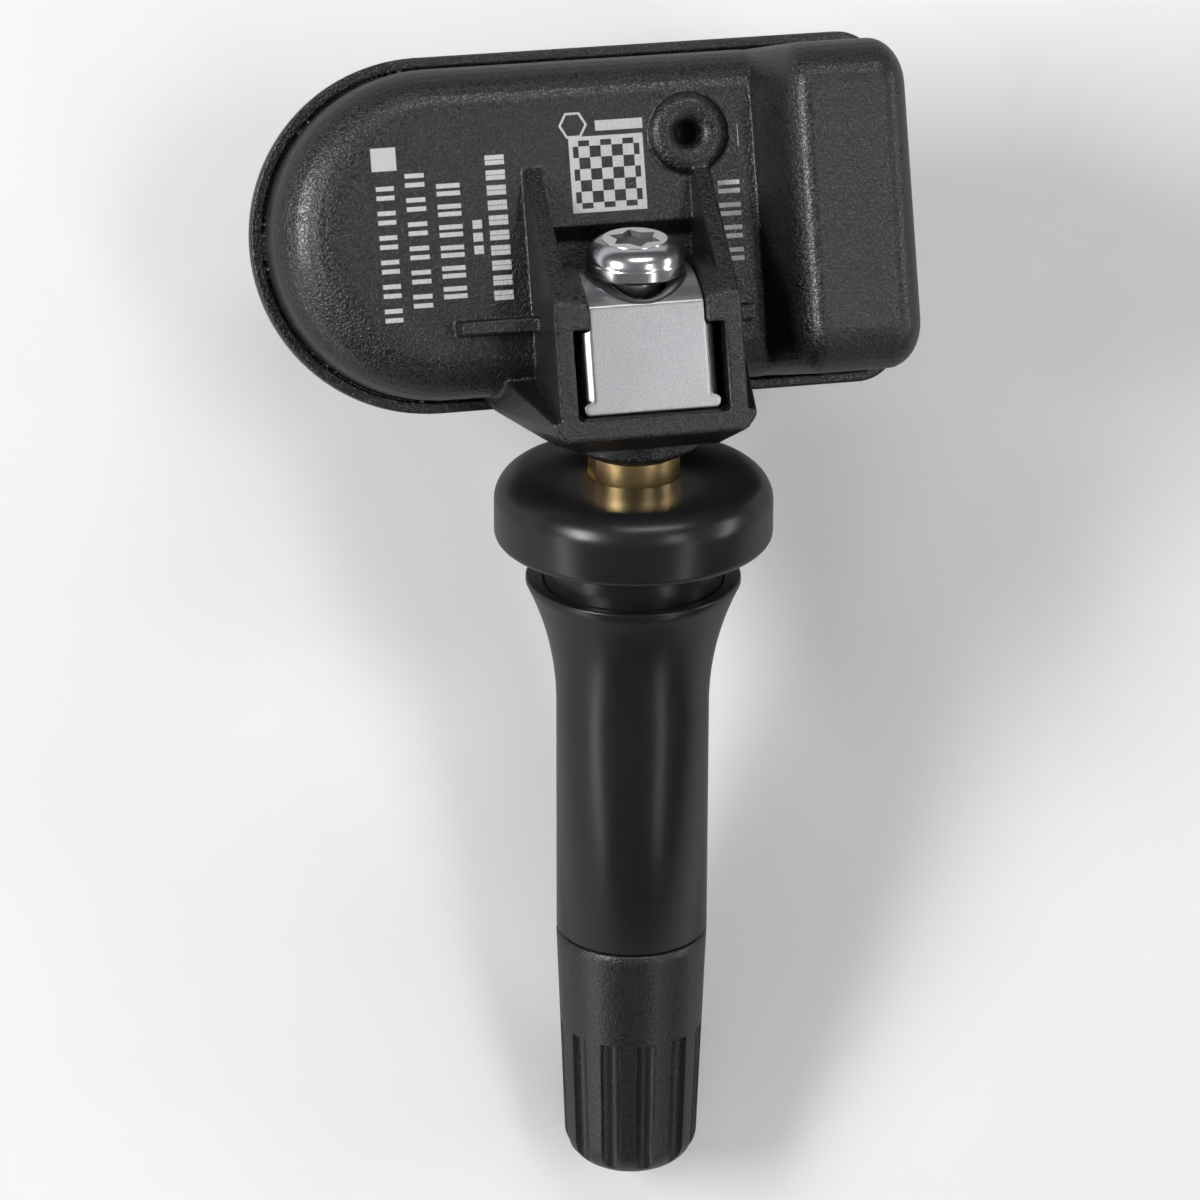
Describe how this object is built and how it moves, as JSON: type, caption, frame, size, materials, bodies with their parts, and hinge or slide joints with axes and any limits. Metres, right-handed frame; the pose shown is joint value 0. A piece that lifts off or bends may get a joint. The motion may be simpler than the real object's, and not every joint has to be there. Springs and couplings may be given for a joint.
{
  "type": "tyre pressure sensor",
  "caption": "Tyre pressure sensor: a long plastic housing with a raised bump, screwed through a steel clip to a snap-in rubber tyre valve with a grooved cap.",
  "frame": {"origin": "centre of the valve's rim seat, where the flange's outer side meets the valve's axis", "axes": "+Z is the outward normal of the housing's face, -Z of its flat back; +X runs along the housing to its bump; the valve leaves towards -Y, 20 degrees below the X-Y plane"},
  "size_m": [0.047, 0.0834, 0.0316],
  "materials": {
    "rubber_black": "satin",
    "brass_turned": "satin",
    "steel_plated": "polished",
    "brass_core": "satin",
    "ptfe": "satin",
    "spring_steel": "satin",
    "rubber_seal": "matte",
    "cap_plastic": "satin",
    "housing_plastic": "fine grain",
    "plate_plastic": "fine grain",
    "clip_steel": "fine blasted",
    "board": "gloss",
    "cell_steel": "satin",
    "tab_nickel": "satin",
    "chip_plastic": "matte",
    "tin": "bright",
    "ferrite": "matte",
    "copper_wire": "varnished",
    "antenna_brass": "satin",
    "ceramic": "matte"
  },
  "bodies": {
    "valve": {"valve_rubber": "rubber_black", "valve_stem": "brass_turned", "fixing_screw": "steel_plated", "core_barrel": "brass_core", "core_gasket": "ptfe", "core_spring": "spring_steel"},
    "pin": {"core_pin": "brass_core", "core_cup": "brass_core", "core_cup_seal": "rubber_seal"},
    "cap_ring": {"cap_seal": "rubber_seal"},
    "cap": {"valve_cap": "cap_plastic"},
    "sensor": {"housing_cover": "housing_plastic", "base_plate": "plate_plastic", "clip": "clip_steel", "circuit_board": "board", "coin_cell": "cell_steel", "cell_tab_top": "tab_nickel", "cell_tab_bottom": "tab_nickel", "pressure_chip": "chip_plastic", "chip_legs": "tin", "port_seal": "rubber_seal", "coil_core": "ferrite", "coil_winding": "copper_wire", "rf_antenna": "antenna_brass", "crystal_can": "tin", "small_parts": "ceramic"}
  },
  "joints": [
    {"name": "cap_lift", "type": "slide", "parent": "valve", "child": "cap_ring", "axis": [0, -0.9397, -0.342], "range_m": [0, 0.00794]},
    {"name": "cap_turn", "type": "hinge", "parent": "cap_ring", "child": "cap", "pos_m": [0, -0.04229, -0.01539], "axis": [0, -0.9397, -0.342], "range_deg": [0, 3600]},
    {"name": "pin_press", "type": "slide", "parent": "valve", "child": "pin", "axis": [0, 0.9397, 0.342], "range_m": [0, 0.0012], "stiffness_N_per_m": 200, "springref_m": -0.002, "deforming": ["core_spring"]},
    {"name": "housing_tilt", "type": "hinge", "parent": "valve", "child": "sensor", "pos_m": [0, 0.01325, 0.00482], "axis": [1, 0, 0], "range_deg": [-8, 8]}
  ],
  "couplings": [
    {"joint": "cap_turn", "follows": "cap_lift", "rad_per_m": 7913.3}
  ]
}
